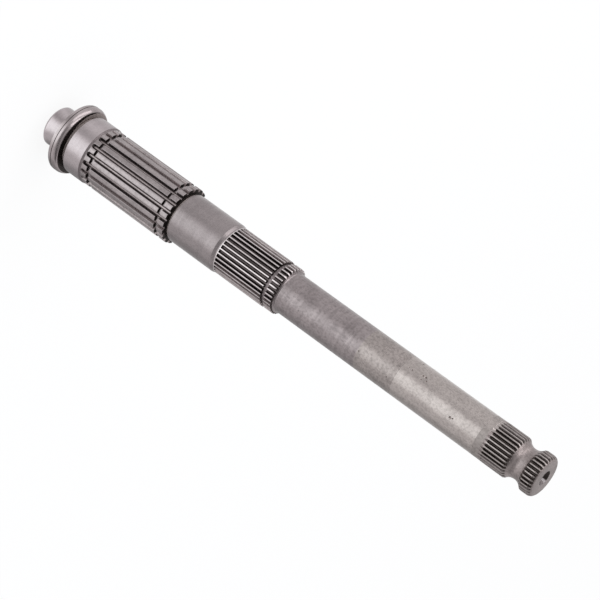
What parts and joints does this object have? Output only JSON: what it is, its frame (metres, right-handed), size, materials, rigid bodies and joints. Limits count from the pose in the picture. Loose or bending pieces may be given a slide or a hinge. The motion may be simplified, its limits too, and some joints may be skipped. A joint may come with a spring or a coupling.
{
  "type": "transmission main shaft",
  "caption": "Solid steel gearbox shaft with a thrust flange, coarse and fine splines, plain journals, a long round body and a serrated end with a round neck.",
  "frame": {"origin": "centre of the short journal's end face, on which the shaft stands", "axes": "+Z along the shaft's axis, from the short journal to the serrated end; +X and +Y are across it and equal"},
  "size_m": [0.0295, 0.0294, 0.2443],
  "materials": {
    "shaft_steel": "hardened steel, ground and turned, satin grey"
  },
  "bodies": {
    "root": {"main_shaft": "shaft_steel"}
  },
  "joints": []
}
